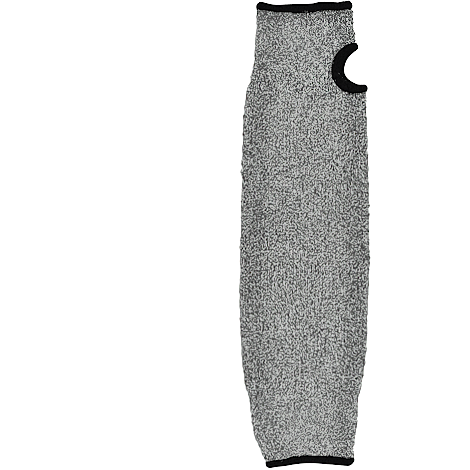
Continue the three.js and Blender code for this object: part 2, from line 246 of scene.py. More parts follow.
def read_table(places, values, place):
    """The smooth curve through a table's rows.

    Between two rows it is their smoothstep blend plus span*t*(1 - t)*(a*(1 - t) - b*t), where t is the
    share of the way and a and b are the slopes at the rows. A row's slope is the harmonic mean of the
    slopes on both sides of it, and nothing at a turning point and at both ends.
    """
    secant = np.diff(values) / np.diff(places)
    slope = np.zeros(len(values))
    both = secant[1:] * secant[:-1]
    total = np.where(both > 0, secant[1:] + secant[:-1], 1.0)
    slope[1:-1] = np.where(both > 0, 2 * both / total, 0.0)
    place = np.clip(place, places[0], places[-1])
    row = np.clip(np.searchsorted(places, place) - 1, 0, len(places) - 2)
    span = places[row + 1] - places[row]
    t = (place - places[row]) / span
    blend = values[row] + (values[row + 1] - values[row]) * t * t * (3 - 2 * t)
    return blend + span * t * (1 - t) * (slope[row] * (1 - t) - slope[row + 1] * t)


def section_at(along):
    """Half widths, crown and lift of the flattened tube at a distance from the upper-arm opening.

    The lift keeps the under layer as far off the floor as a bound edge stands proud, at both ends
    and round the thumb hole, and lets it down to the floor along the forearm.
    """
    s = bpy.context.scene.sleeve_shape
    widths = np.array([s.arm_width, s.forearm_width, s.hand_width])[SECTIONS[:, 1].astype(int)]
    places = SECTIONS[:, 0] * s.length
    proud = s.band_slack + s.band_leg
    band = s.band + 2 * s.band_slack
    hole_start = s.length - s.hole_from_hand - s.hole_length / 2 - band
    arm_end = 1 - smoothstep(along, band, band + s.settle)
    hand_end = smoothstep(along, hole_start - s.settle, hole_start)
    return SimpleNamespace(
        outer=read_table(places, SECTIONS[:, 2] * widths, along),
        thumb=read_table(places, SECTIONS[:, 3] * widths, along),
        crown=read_table(places, SECTIONS[:, 4] * s.crown_rise, along),
        lift=proud * np.maximum(arm_end, hand_end),
    )


def on_sleeve(turn, along, proud):
    """Points of the sleeve, in the frame.

    The turn is 0 on the thumb side's fold line, and runs over the upper layer: to 1 round the fold, to
    2 across the flat and to 3 round the outer fold. Negative turns run the same way over the under
    layer. On a fold x and the height are the cosine and sine of the turn times the fold's radius plus
    proud, and on the flat the height is that radius. The upper layer is raised by the crown times 1
    minus the fourth power of the share of the half width. The edges of both ends are drawn in by
    their tables, and that fades away from them.
    """
    s = bpy.context.scene.sleeve_shape
    turn, along, proud = np.broadcast_arrays(turn, along, proud)
    section = section_at(along)
    outer, thumb = section.outer, section.thumb
    fold = s.fold_height / 2
    radius = fold + proud
    part = np.abs(turn)
    near = np.clip(part, 0, 1) * TURN / 4
    far = np.clip(part - 2, 0, 1) * TURN / 4
    flat_x = thumb - fold + (fold - outer - thumb + fold) * np.clip(part - 1, 0, 1)
    face_x = flat_x + fold * np.cos(near) * (part < 1) - fold * np.sin(far) * (part > 2)
    x = flat_x + radius * np.cos(near) * (part < 1) - radius * np.sin(far) * (part > 2)
    rise = radius * np.where(part < 1, np.sin(near), np.where(part > 2, np.cos(far), 1.0))
    width = outer + thumb
    across = (face_x - (thumb - outer) / 2) / width
    arm = (1 - smoothstep(along, 0, s.edge_fade)) * s.arm_arch
    hand = (1 - smoothstep(s.length - along, 0, s.edge_fade)) * s.hand_dip
    inset = arm * read_table(ARM_EDGE[:, 0], ARM_EDGE[:, 1], across)
    inset = inset - hand * read_table(HAND_EDGE[:, 0], HAND_EDGE[:, 1], across)
    crown = np.where(turn < 0, 0.0, section.crown * (1 - (2 * across) ** 4))
    z = section.lift + fold + np.where(turn < 0, -rise, rise) + crown
    return np.stack([x, along + inset, z], axis=-1) + frame_shift()


def frame_shift():
    """What brings the middle of the sleeve's outline to the frame's origin."""
    s = bpy.context.scene.sleeve_shape
    places = 901
    section = section_at(np.linspace(0, s.length, places))
    return np.array([(section.outer.max() - section.thumb.max()) / 2, -s.length / 2, 0.0])


def half_round(along):
    """Distance round the tube from the thumb side's fold line to the outer side's."""
    s = bpy.context.scene.sleeve_shape
    section = section_at(along)
    return section.outer + section.thumb - s.fold_height + s.fold_height * TURN / 4


def turn_at(around, along):
    """The turn of a point that lies a distance round the tube from the thumb side's fold line."""
    s = bpy.context.scene.sleeve_shape
    quarter = s.fold_height / 2 * TURN / 4
    flat = half_round(along) - 2 * quarter
    way = np.abs(around)
    on_flat = 1 + (way - quarter) / flat
    past_flat = 2 + (way - quarter - flat) / quarter
    turn = np.where(way < quarter, way / quarter, np.where(way < quarter + flat, on_flat, past_flat))
    return np.copysign(np.minimum(turn, 3.0), around)


def around_at(share, along):
    """Distance round the tube from the thumb side's fold line, by the share of the way round: it is
    positive over the upper layer, up to a share of 1/2, and negative back under the lower one. The
    share may run past 1."""
    return ((2 * np.asarray(share) + 1) % 2 - 1) * half_round(along)


def place_round(share, along, proud):
    """Points by their share of the way round the tube, which is 0 on the thumb side's fold line."""
    return on_sleeve(turn_at(around_at(share, along), along), along, proud)


def hole_outline(steps):
    """Closed smooth curve through the thumb hole's points, in places evenly spaced by its length.

    Each stretch is a cubic. Its tangent at a point is the slope from the point before to it, minus
    the slope from the point before to the point after, plus the slope from it to the point after,
    where the way between two points counts as the square root of their distance. Returns the places,
    the directions away from the hole, both as (round the tube, along it), the length, and where on it
    the table's points lie, as shares of it.
    """
    s = bpy.context.scene.sleeve_shape
    reach = np.where(THUMB_HOLE[:, 0] > 0, s.hole_upper, s.hole_under)
    middle = s.length - s.hole_from_hand
    knots = np.stack([THUMB_HOLE[:, 0] * reach, middle + THUMB_HOLE[:, 1] * s.hole_length], 1)
    before, here, after, beyond = (np.roll(knots, k, axis=0) for k in (1, 0, -1, -2))
    gap_a, gap_b, gap_c = (np.linalg.norm(q - p, axis=1, keepdims=True) ** 0.5
                           for p, q in ((before, here), (here, after), (after, beyond)))
    lead = ((here - before) / gap_a - (after - before) / (gap_a + gap_b) + (after - here) / gap_b) * gap_b
    trail = ((after - here) / gap_b - (beyond - here) / (gap_b + gap_c) + (beyond - after) / gap_c) * gap_b
    fine = 60
    t = np.linspace(0, 1, fine, endpoint=False)[None, :, None]
    cubic = (here[:, None] + lead[:, None] * t
             + (3 * (after - here) - 2 * lead - trail)[:, None] * t ** 2
             + (2 * (here - after) + lead + trail)[:, None] * t ** 3).reshape(-1, 2)
    closed = np.vstack([cubic, cubic[:1]])
    way = np.concatenate([[0], np.cumsum(np.linalg.norm(np.diff(closed, axis=0), axis=1))])
    even = np.linspace(0, way[-1], steps, endpoint=False)
    points = np.stack([np.interp(even, way, closed[:, k]) for k in range(2)], 1)
    ahead = np.roll(points, -1, axis=0) - np.roll(points, 1, axis=0)
    ahead /= np.linalg.norm(ahead, axis=1, keepdims=True)
    return points, np.stack([ahead[:, 1], -ahead[:, 0]], 1), way[-1], way[::fine] / way[-1]


def from_hole(around, along):
    """How far points lie outside the thumb hole's outline: the distance to its nearest point, taken
    square to the outline. Points that aren't near the hole get the length of the sleeve."""
    shape = bpy.context.scene.sleeve_shape
    coarse_steps = 160
    points, away, _, _ = hole_outline(coarse_steps)
    around, along = np.broadcast_arrays(around, along)
    spots = np.stack([np.ravel(around), np.ravel(along)], 1)
    room = 2 * shape.band
    near = np.all((spots > points.min(0) - room) & (spots < points.max(0) + room), axis=1)
    offset = spots[near][:, None] - points[None]
    nearest = np.argmin((offset ** 2).sum(-1), axis=1)
    outward = np.full(len(spots), shape.length)
    outward[near] = (offset[np.arange(len(nearest)), nearest] * away[nearest]).sum(-1)
    return outward.reshape(np.shape(around))


def ripple(random, length, spread):
    """A smooth ripple of unit size round a closed edge, as a function of the share of the way round. It
    is noise blurred by a bell curve of that spread, read off a table with an entry each half millimetre."""
    entry = 0.0005
    steps = int(length / entry)
    table = smooth_line(random, steps, spread / entry)
    table = np.append(table, table[0])
    return lambda share: np.interp(np.asarray(share) % 1 * steps, np.arange(steps + 1), table)


def smooth_noise(random, shape, spread):
    """Even noise of unit size: white noise blurred by a bell curve of that spread, in steps, on each
    axis. It is done in the noise's spectrum, so opposite edges meet."""
    white = np.fft.fft2(random.standard_normal(shape))
    for axis, width in enumerate(spread):
        waves = np.fft.fftfreq(shape[axis])
        bell = np.exp(-2 * (np.pi * waves * width) ** 2)
        white = white * (bell[:, None] if axis == 0 else bell[None, :])
    field = np.real(np.fft.ifft2(white))
    return field / field.std()


def smooth_line(random, steps, spread):
    """The same noise along a line whose ends meet."""
    return smooth_noise(random, (1, steps), (0, spread))[0]


def make_piece(name, points, quads, uv_maps, material, fields=()):
    """A mesh piece from arrays: its points, its four-cornered faces, for each named map the places of the
    faces' corners, and for each named field a number for each point. Points that no face uses are
    dropped, and what would lie below the floor is pressed flat on it."""
    used, faces = np.unique(quads, return_inverse=True)
    points = np.asarray(points).reshape(-1, 3)[used]
    points[:, 2] = np.maximum(points[:, 2], 0.0)
    faces = faces.reshape(-1, 4)
    starts = np.arange(0, faces.size, 4, dtype=np.int32)
    mesh = bpy.data.meshes.new(name)
    mesh.vertices.add(len(points))
    mesh.vertices.foreach_set("co", points.astype(np.float32).ravel())
    mesh.loops.add(faces.size)
    mesh.loops.foreach_set("vertex_index", faces.astype(np.int32).ravel())
    mesh.polygons.add(len(faces))
    mesh.polygons.foreach_set("loop_start", starts)
    mesh.polygons.foreach_set("use_smooth", np.ones(len(faces), dtype=bool))
    for label, places in uv_maps.items():
        layer = mesh.uv_layers.new(name=label)
        layer.uv.foreach_set("vector", np.asarray(places, dtype=np.float32).ravel())
    for label, values in dict(fields).items():
        field = mesh.attributes.new(label, "FLOAT", "POINT")
        field.data.foreach_set("value", np.asarray(values, dtype=np.float32).ravel()[used])
    mesh.update(calc_edges=True)
    if mesh.validate():
        raise RuntimeError(f"{name}: the mesh has faces that aren't sound")
    mesh.materials.append(material)
    piece = bpy.data.objects.new(name, mesh)
    bpy.context.scene.collection.objects.link(piece)
    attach(piece, BODY)
    return piece


def thread_rings(path, lift_hint, half_width, half_height):
    """Rings of four corners round each point of paths that run along the second-last axis.

    The tangent is the difference of a point's neighbours. The hint, made square to it, is the thread's
    up, and their cross product its side. The corners are up, side, down and other side.
    """
    ahead = np.gradient(path, axis=-2)
    ahead /= np.linalg.norm(ahead, axis=-1, keepdims=True)
    up = lift_hint - (lift_hint * ahead).sum(-1, keepdims=True) * ahead
    up /= np.linalg.norm(up, axis=-1, keepdims=True)
    side = np.cross(ahead, up)
    corners = [up * half_height, side * half_width, -up * half_height, -side * half_width]
    return np.stack([path + corner for corner in corners], axis=-2)


def ring_quads(ring, after, side):
    """Faces between two rings: ring and after are the numbers of their first corners, and side says on
    which side of the thread each face lies."""
    beside = (side + 1) % RING
    return np.stack([ring + beside, after + beside, after + side, ring + side], -1).reshape(-1, 4)


def corner_places(left, right, low, high):
    """Places on a map of the corners of faces, in the order in which ring_quads gives them."""
    across = np.stack([left, right, right, left], -1)
    upward = np.stack([high, high, low, low], -1)
    return np.stack([across, upward], -1).reshape(-1, 4, 2)


def strip_quads(stations, kept):
    """Faces of threads: runs of a number of stations, with a ring at each, numbered in order. kept says
    which stretch of which run is there. Returns the faces, and the run, the station and the side of
    each."""
    run, station, side = np.nonzero(np.broadcast_to(kept[:, :, None], (*kept.shape, RING)))
    ring = (run * stations + station) * RING
    return ring_quads(ring, ring + RING, side), run, station, side


def cap_quads(stations, kept):
    """Faces that close the threads where a kept stretch begins or ends, with the run and the stretch."""
    edge = np.zeros((len(kept), 1), dtype=bool)
    before = np.hstack([edge, kept[:, :-1]])
    after = np.hstack([kept[:, 1:], edge])
    first_run, first = np.nonzero(kept & ~before)
    last_run, last = np.nonzero(kept & ~after)
    corner = np.arange(RING)
    starts = ((first_run * stations + first) * RING)[:, None] + corner
    ends = ((last_run * stations + last + 1) * RING)[:, None] + corner[::-1]
    return np.vstack([starts, ends]), np.concatenate([first_run, last_run]), np.concatenate([first, last])


# How much of itself a loop's lean and its reach vary by
LEAN_VARIES = 0.16
REACH_VARIES = 0.07

# In metres: half the length over which the yarn goes under a binding's border, and the distances from a
# fold between which the painted shade on the yarn fades out
GOES_UNDER = 0.0015
SIDE_SHADE_FROM = 0.020
SIDE_SHADE_TO = 0.034

# The same for the painted shade beside the hand end, which stands in for shade and in part for the
# black thread's bites, from before to behind the binding's border
HAND_SHADE_BEFORE = 0.004
HAND_SHADE_BEHIND = 0.018

# In metres of yarn: how far in a course may start, and how much further along than its first ring the
# ring that closes it lies
FURTHEST_START = 90
CLOSING_RING = 0.7

# On the bake map: the room between two rows of yarn, in sides of it, and for the square of a cap its
# margin and its width, in lengths of yarn
ROW_GAP = 0.3
CAP_MARGIN = 0.2
CAP_WIDTH = 0.6


def knit_paths():
    """Middle line of the yarn in every course, points a little further out of the fabric, which
    stitches are there, and the yarn's painted shade: 1, down to 0 along both folds and to -1 beside the
    hand binding, where the darker colour stands in for shade and in part for the black thread's bites.

    A course is the jersey curve over its stitches, with an angle that grows by a whole turn in each:
    it goes forward evenly plus the lean times the sine of twice the angle, less the squeeze times the
    sine of the angle, it rises and falls with the cosine, from the loops' heads to their feet, and it
    comes forward with minus the cosine of twice the angle, so that the legs lie in front. Every
    course and wale strays a little from its place.
    """
    knit, shape = bpy.context.scene.sleeve_knit, bpy.context.scene.sleeve_shape
    random = np.random.default_rng(KNIT_SEED)
    little = 0.0005
    end = shape.band_slack + shape.band_leg + 1.5 * knit.course_pitch
    courses = int((shape.length - 2 * end) / knit.course_pitch)
    rows = np.linspace(end, shape.length - end, courses)[:, None]
    steps = knit.wales * SEGMENTS
    wale = np.arange(steps)[None, :] / SEGMENTS
    angle = TURN * wale

    def noise(over_courses, over_wales):
        return smooth_noise(random, (courses, steps), (over_courses, SEGMENTS * over_wales))

    stray = [knit.unevenness * noise(over_courses=0.3, over_wales=0.45) for _ in range(2)]
    drift = [knit.wander * noise(over_courses=5.0, over_wales=5.0) for _ in range(2)]
    lean = knit.loop_lean * (1 + LEAN_VARIES * noise(over_courses=0.3, over_wales=0.8))
    reach = knit.loop_reach * (1 + REACH_VARIES * noise(over_courses=0.3, over_wales=0.8))
    wale_pitch = 2 * half_round(rows) / knit.wales
    fade = smoothstep(rows, 0, 3 * end) * smoothstep(shape.length - rows, 0, 3 * end)
    place = wale + lean * np.sin(2 * angle) - knit.loop_squeeze * np.sin(angle)
    place = place + (stray[0] + drift[0]) / wale_pitch
    along = rows + reach * knit.course_pitch * np.cos(angle) + stray[1] * fade + drift[1] * fade
    proud = -knit.legs_under_face - knit.loop_depth / 2 * (1 + np.cos(2 * angle))
    proud = proud + knit.roughness * noise(over_courses=0.3, over_wales=0.6)
    share = place / knit.wales
    around = around_at(share, along)
    from_end = np.minimum(along, shape.length - along)
    from_edge = np.minimum(from_end, from_hole(around, along))
    clear = smoothstep(from_edge, shape.band - GOES_UNDER, shape.band + GOES_UNDER)
    proud = proud - knit.pressed * (1 - clear)
    # Painted shade: the yarn's colour is darkened along both folds
    from_fold = np.minimum(np.abs(around), half_round(along) - np.abs(around))
    # Painted shade beside the hand binding, partly standing in for the black thread's bites
    past_hand = smoothstep(shape.length - along, shape.band - HAND_SHADE_BEFORE, shape.band + HAND_SHADE_BEHIND)
    tone = smoothstep(from_fold, SIDE_SHADE_FROM, SIDE_SHADE_TO) * past_hand - (1 - past_hand)
    middle = place_round(share, along, proud)
    further_out = place_round(share, along, proud + little)
    stitch_around = around_at((np.arange(knit.wales) + 0.5) / knit.wales, rows)
    kept = from_hole(stitch_around, rows) > shape.band / 2
    return middle, further_out, kept, tone


def yarn_way(middle, first, stations):
    """How far along the yarn the rings of a panel lie, in metres, and how far each course is drawn in.

    The way is the sum of the steps from ring to ring. Every course holds as much yarn as the longest,
    so its steps are multiplied by the longest course's length over its own, and it is drawn in by 1
    minus its own length over the longest. Each course starts at a random place of the yarn.
    """
    courses, steps = middle.shape[:2]
    step = np.linalg.norm(np.roll(middle, -1, axis=1) - middle, axis=-1)
    whole = step.sum(axis=1, keepdims=True)
    way = np.cumsum(step * whole.max() / whole, axis=1)
    number = first * SEGMENTS + np.arange(stations)
    starts = np.random.default_rng(YARN_SEED).uniform(0, FURTHEST_START, (courses, 1))
    way = way[:, number % steps] + starts + np.where(number >= steps, CLOSING_RING, 0.0)
    return way, np.broadcast_to(1 - whole / whole.max(), way.shape)


def bake_places(courses, stations, faces, caps):
    """Places on the map "OFBake", which lays the yarn out flat in rows, two courses to a row, with the
    caps at the end of their course. Faces are given by run, station and side, and caps by run."""
    wide = 1 / (2 * (stations + 1))
    high = 1 / -(-courses // 2)
    tall = high / (RING + ROW_GAP)
    run, station, side = faces
    left = run % 2 * (stations + 1) * wide + station * wide
    row = run // 2 * high
    strips = corner_places(left, left + wide, row + side * tall, row + (side + 1) * tall)
    cap_left = (caps % 2 * (stations + 1) + stations - 1 + CAP_MARGIN) * wide
    square = np.array([(0, 0), (CAP_WIDTH, 0), (CAP_WIDTH, 1), (0, 1)]) * (wide, tall)
    return np.vstack([strips, np.stack([cap_left, caps // 2 * high], -1)[:, None] + square])


def yarn_panel(name, first, wales, knitted, material):
    """One lengthwise panel of the knit: the yarn of some neighbouring wales, in every course.

    The map "yarn" runs along the yarn, in metres, and once round it. One field holds the yarn's
    painted shade, darker along both folds and beside the hand binding, and "mingled" says how far its
    course is drawn in.
    """
    middle, further_out, kept, tone = knitted
    knit = bpy.context.scene.sleeve_knit
    courses, steps = middle.shape[:2]
    stations = wales * SEGMENTS + 1
    pick = (first * SEGMENTS + np.arange(-1, stations + 1)) % steps
    path = middle[:, pick]
    up = further_out[:, pick] - path
    rings = thread_rings(path, up, knit.yarn_width, knit.yarn_height)[:, 1:-1]
    stretches = np.repeat(kept[:, (first + np.arange(wales)) % knit.wales], SEGMENTS, axis=1)
    quads, run, station, side = strip_quads(stations, stretches)
    caps, cap_run, cap_station = cap_quads(stations, stretches)
    way, mingled = yarn_way(middle, first, stations)
    yarn = corner_places(way[run, station], way[run, station + 1], side / RING, (side + 1) / RING)
    cap_way = np.repeat(way[cap_run, cap_station][:, None], RING, axis=1)
    cap_yarn = np.stack([cap_way, np.broadcast_to(np.arange(RING) / RING, cap_way.shape)], -1)
    bake = bake_places(courses, stations, (run, station, side), cap_run)
    maps = {"yarn": np.vstack([yarn, cap_yarn]), "OFBake": bake}
    corners = {"tone": tone[:, pick[1:-1]], "mingled": mingled}
    fields = {label: np.repeat(values, RING, axis=1) for label, values in corners.items()}
    return make_piece(name, rings, np.vstack([quads, caps]), maps, material, fields)


def new_finish(name):
    """A new material, as functions that add nodes to its tree.

    add makes any node, with numbers or links for its inputs. The others make the usual ones and give
    their output: maths, noise over a place or along a line, centred, which spreads a share of 0 to 1
    evenly to both sides of nothing, blend of two colours, and bump. place gives the points of the
    object, and finish ends the tree with a shader and gives the material.
    """
    material = bpy.data.materials.new(name)
    material.use_nodes = True
    tree = material.node_tree
    tree.nodes.clear()

    def add(kind, values=(), **settings):
        node = tree.nodes.new(kind)
        for key, value in settings.items():
            setattr(node, key, value)
        for key, value in dict(values).items():
            if isinstance(value, bpy.types.NodeSocket):
                tree.links.new(value, node.inputs[key])
            else:
                node.inputs[key].default_value = value
        return node

    def maths(operation, *values):
        return add("ShaderNodeMath", dict(enumerate(values)), operation=operation).outputs[0]

    def noise(where, scale, detail, roughness=0.5):
        socket, dimensions = ("W", "1D") if where.type == "VALUE" else ("Vector", "3D")
        values = {socket: where, "Scale": scale, "Detail": detail, "Roughness": roughness}
        return add("ShaderNodeTexNoise", values, noise_dimensions=dimensions).outputs["Fac"]

    def centred(share, size):
        return maths("MULTIPLY_ADD", share, size, -size / 2)

    def blend(share, low, high):
        values = {"Factor": share, 6: rgba(low), 7: rgba(high)}
        return add("ShaderNodeMix", values, data_type="RGBA").outputs[2]

    def bump(height, strength, distance):
        values = {"Height": height, "Strength": strength, "Distance": distance}
        return add("ShaderNodeBump", values).outputs[0]

    def place():
        return add("ShaderNodeTexCoord").outputs["Object"]

    def finish(base, roughness, gloss, more=()):
        values = {"Base Color": base, "Roughness": roughness, "Specular IOR Level": gloss, **dict(more)}
        shader = add("ShaderNodeBsdfPrincipled", values)
        add("ShaderNodeOutputMaterial", {"Surface": shader.outputs[0]})
        return material

    return SimpleNamespace(add=add, maths=maths, noise=noise, centred=centred, blend=blend, bump=bump,
                           place=place, finish=finish)


def rgba(value, strength=1.0):
    """A colour with full cover, for a socket, made stronger or weaker."""
    return (*[strength * part for part in value[:3]], 1.0)


def yarn_material():
    """Salt and pepper yarn: a light and a dark ply that wind round each other, now one way and now the
    other, with stray fibres of each.

    The light ply shows where the sine of the plies' turns, plus noise along the yarn, plus fine noise,
    plus the painted shade is above nothing, so less of it shows along both folds and beside the hand
    binding, where shade is painted into the yarn's colour. The turns grow with the way along the yarn
    and with noise, and round the yarn they shift by the lay times the sine of the place round it.
    """
    knit = bpy.context.scene.sleeve_knit
    nodes = new_finish("salt and pepper yarn")
    maths, noise = nodes.maths, nodes.noise
    turns_astray, along_size, fibre_size, middle_tone = 6.0, 2.2, 1.2, 0.6
    where = nodes.add("ShaderNodeUVMap", uv_map="yarn")
    split = nodes.add("ShaderNodeSeparateXYZ", {0: where.outputs["UV"]})
    way, round_it = split.outputs[0], split.outputs[1]
    turns = maths("MULTIPLY", way, 1 / knit.twist_pitch)
    wobble = maths("MULTIPLY_ADD", noise(way, scale=60.0, detail=1.5), turns_astray, turns)
    lay = nodes.add("ShaderNodeMapRange", {
        "Value": noise(way, scale=100.0, detail=0.0), "From Min": 0.42, "From Max": 0.58,
        "To Min": -knit.ply_lay, "To Max": knit.ply_lay})
    around = maths("MULTIPLY", maths("SINE", maths("MULTIPLY", round_it, TURN)), lay.outputs[0])
    phase = maths("MULTIPLY", maths("ADD", wobble, around), TURN)
    along = nodes.centred(noise(way, scale=260.0, detail=1.0), along_size)
    # Painted shade: this field darkens the yarn along both folds and beside the hand binding
    tone = nodes.add("ShaderNodeAttribute", attribute_name="tone").outputs["Fac"]
    painted_shading = maths("MULTIPLY_ADD", tone, knit.side_painted_shade, -middle_tone * knit.side_painted_shade)
    share = maths("ADD", maths("ADD", maths("SINE", phase), along), painted_shading)
    fibre = noise(nodes.place(), scale=1500.0, detail=2.0, roughness=0.6)
    share = maths("ADD", share, nodes.centred(fibre, fibre_size))
    plies = nodes.add("ShaderNodeMapRange", {"Value": share, "From Min": -0.30, "From Max": 0.35},
                      interpolation_type="SMOOTHSTEP")
    light = mingled_plies(nodes, plies.outputs[0], knit.mingling)
    base = nodes.blend(light, knit.dark_ply, knit.light_ply)
    groove = maths("POWER", maths("ABSOLUTE", maths("COSINE", maths("MULTIPLY", phase, 0.5))), 0.6)
    height = maths("MULTIPLY_ADD", fibre, 0.35, groove)
    sheen = {"Sheen Weight": 0.10, "Sheen Roughness": 0.6}
    bump = nodes.bump(height, strength=0.55, distance=0.00018)
    return nodes.finish(base, roughness=0.88, gloss=0.22, more={"Normal": bump, **sheen})


def mingled_plies(nodes, light, mingling):
    """The share of the light ply, brought nearer to an even share by the field "mingled"."""
    even_share = 0.42
    mingled = nodes.add("ShaderNodeAttribute", attribute_name="mingled").outputs["Fac"]
    apart = nodes.maths("MULTIPLY_ADD", mingled, -mingling, 1.0)
    even = nodes.maths("MULTIPLY", mingled, even_share * mingling)
    return nodes.maths("MULTIPLY_ADD", light, apart, even)


def fibre_material():
    """Stray fibre of the light ply: one pale colour, a little uneven."""
    knit = bpy.context.scene.sleeve_knit
    nodes = new_finish("light fibre")
    patch = nodes.noise(nodes.place(), scale=1500.0, detail=1.0)
    base = nodes.blend(patch, rgba(knit.light_ply, 0.06), rgba(knit.light_ply, 0.25))
    return nodes.finish(base, roughness=0.9, gloss=0.2)


def painted_shade_sheet_material():
    """Painted shade: a dark sheet with fine ribs behind the yarn, for the shade in the stitches' gaps."""
    knit = bpy.context.scene.sleeve_knit
    nodes = new_finish("plaiting web")
    rib_pitch, rib_share, fibre_share = 0.0009, 0.15, 0.8
    place = nodes.place()
    split = nodes.add("ShaderNodeSeparateXYZ", {0: place})
    ribs = nodes.maths("SINE", nodes.maths("MULTIPLY", split.outputs[1], TURN / rib_pitch))
    fibre = nodes.noise(place, scale=900.0, detail=2.0)
    tone = nodes.maths("MULTIPLY_ADD", fibre, fibre_share, nodes.maths("MULTIPLY", ribs, rib_share))
    base = nodes.blend(tone, rgba(knit.web, 0.45), rgba(knit.web, 1.75))
    bump = nodes.bump(ribs, strength=0.4, distance=0.0002)
    return nodes.finish(base, roughness=0.92, gloss=0.15, more={"Normal": bump})


def thread_material():
    """Black overlock thread: a little lint, and hardly any gloss."""
    binding = bpy.context.scene.sleeve_binding
    nodes = new_finish("black overlock thread")
    lint = nodes.noise(nodes.place(), scale=700.0, detail=3.0, roughness=0.65)
    speck = nodes.add("ShaderNodeMapRange", {"Value": lint, "From Min": 0.35, "From Max": 0.80})
    base = nodes.blend(speck.outputs[0], binding.thread, rgba(binding.thread, 8.0))
    bump = nodes.bump(lint, strength=0.5, distance=0.0002)
    return nodes.finish(base, roughness=0.85, gloss=0.03, more={"Normal": bump})


def bound(inward, at_edge, at_border):
    """How far in points of a binding come to lie, when its edge and its border are moved inward: both
    moves fade evenly to nothing at the other line, and the border's grows on a little past it."""
    band = bpy.context.scene.sleeve_shape.band
    furthest = 1.2
    part = np.clip(inward / band, 0, furthest)
    return inward + np.maximum(1 - part, 0) * at_edge + part * at_border


def end_edge(at_hand):
    """Places along one end opening's edge: a function of the share of the way round, the distance inward
    from the edge and the height over the knit's face, with the edge's length.

    Where the tube folds the edge is drawn in by the corner's round, and much less so on the outer side of
    the arm opening. That fades towards the binding's inner border, which the corner widens by a part of
    its round. Both the edge and the border ripple a little, and follow the tables.
    """
    shape = bpy.context.scene.sleeve_shape
    length = 2 * float(half_round(np.array(shape.length if at_hand else 0.0)))
    trims, widths = (HAND_TRIM, HAND_WIDER) if at_hand else (ARM_TRIM, ARM_WIDER)
    outer_corner = 1.0 if at_hand else 0.25
    border_corner = 0.7
    edge, border = band_ripples(length, HAND_SEED if at_hand else ARM_SEED)

    def place(share, inward, proud):
        from_fold = np.minimum(share * 2 % 1, 1 - share * 2 % 1) * length / 2
        across = 0.5 - 2 * np.minimum(share % 1, 1 - share % 1)
        corner = shape.corner_round * (1 - smoothstep(from_fold, 0, shape.fold_height / 2))
        corner = corner * np.where(across < 0, outer_corner, 1.0)
        wider = read_table(*widths.T, across) - border_corner * corner
        inward = bound(inward, corner + edge(share), border(share) + wider) + read_table(*trims.T, across)
        along = shape.length - inward if at_hand else inward
        return place_round(share, along, proud)

    return place, length


def band_ripples(length, seed):
    """How a bound edge and the border of its binding stray from their lines: two functions of the share of
    the way round, in metres."""
    size = bpy.context.scene.sleeve_binding.ripple
    border_size = 1.4 * size
    random = np.random.default_rng(seed)
    edge = ripple(random, length, spread=0.007)
    border = ripple(random, length, spread=0.0045)
    return lambda share: size * edge(share), lambda share: border_size * border(share)


def hole_edge():
    """Places along the thumb hole's edge, as end_edge gives them. The binding's width follows a table,
    and on the arm side the edge is drawn in by the hole's round where it crosses the fold."""
    shape = bpy.context.scene.sleeve_shape
    points, away, length, knots = hole_outline(OUTLINE_STEPS)
    shares = np.arange(len(points) + 1) / len(points)
    around, up, out_x, out_y = (np.append(v, v[0]) for v in (*points.T, *away.T))
    edge, border = band_ripples(length, THUMB_SEED)
    widths = np.append(THUMB_WIDER, THUMB_WIDER[0])
    middle = shape.length - shape.hole_from_hand

    def place(share, inward, proud):
        share = np.asarray(share) % 1
        x, y = np.interp(share, shares, around), np.interp(share, shares, up)
        corner = shape.hole_round * (1 - smoothstep(np.abs(x), 0, shape.fold_height / 3)) * (y < middle)
        inward = bound(inward, corner + edge(share), border(share) + read_table(knots, widths, share))
        x = x + np.interp(share, shares, out_x) * inward
        y = y + np.interp(share, shares, out_y) * inward
        return on_sleeve(turn_at(x, y), y, proud)

    return place, length


# Half of a bound edge's section, from its inner border to its fold: shares of its width and of its height
BAND_RISE = np.array([(1.00, 0.72), (0.86, 0.90), (0.64, 1.00), (0.40, 1.00)])

# How the looper's thread goes on from there to the edge: inward in metres, and shares of the height
LOOPER_FOLD = np.array([(0.0016, 0.95), (0.0005, 0.64), (-0.0003, 0.0)])

# How far in from the edge the cut thread end lies, in metres, by the share of its length
TAIL_INWARD = np.array([
    (0.00, 0.0008), (0.30, 0.0002), (0.50, 0.0002), (0.80, 0.0006), (0.85, 0.0006), (1.00, -0.0002),
])


def band_profile(outside, inside):
    """Closed U profile of a bound edge's core, as (inward, height over the wall's middle).

    Outside it is a leg that rises from the border, half an ellipse round the fold and the other leg,
    and inside it is the same, smaller by the core's thickness. The legs' ends are closed by the
    straight lines between them.
    """
    thinnest, short_of_border, fold_steps = 0.00015, 0.0004, 9
    angle = np.linspace(0, np.pi, fold_steps)
    leg = BAND_RISE * (bpy.context.scene.sleeve_shape.band - short_of_border, outside)
    inner_leg = np.stack([leg[:, 0], np.minimum(leg[:, 1] - thinnest, inside)], 1)
    outer = np.stack([NOSE - NOSE * np.sin(angle), outside * np.cos(angle)], 1)
    inner = np.stack([outer[:, 0] + outside - inside, inside * np.cos(angle)], 1)
    mirrored = np.array([1, -1])
    outer = np.vstack([leg, outer, (leg * mirrored)[::-1]])
    inner = np.vstack([inner_leg, inner, (inner_leg * mirrored)[::-1]])
    return np.vstack([outer, inner[::-1]])


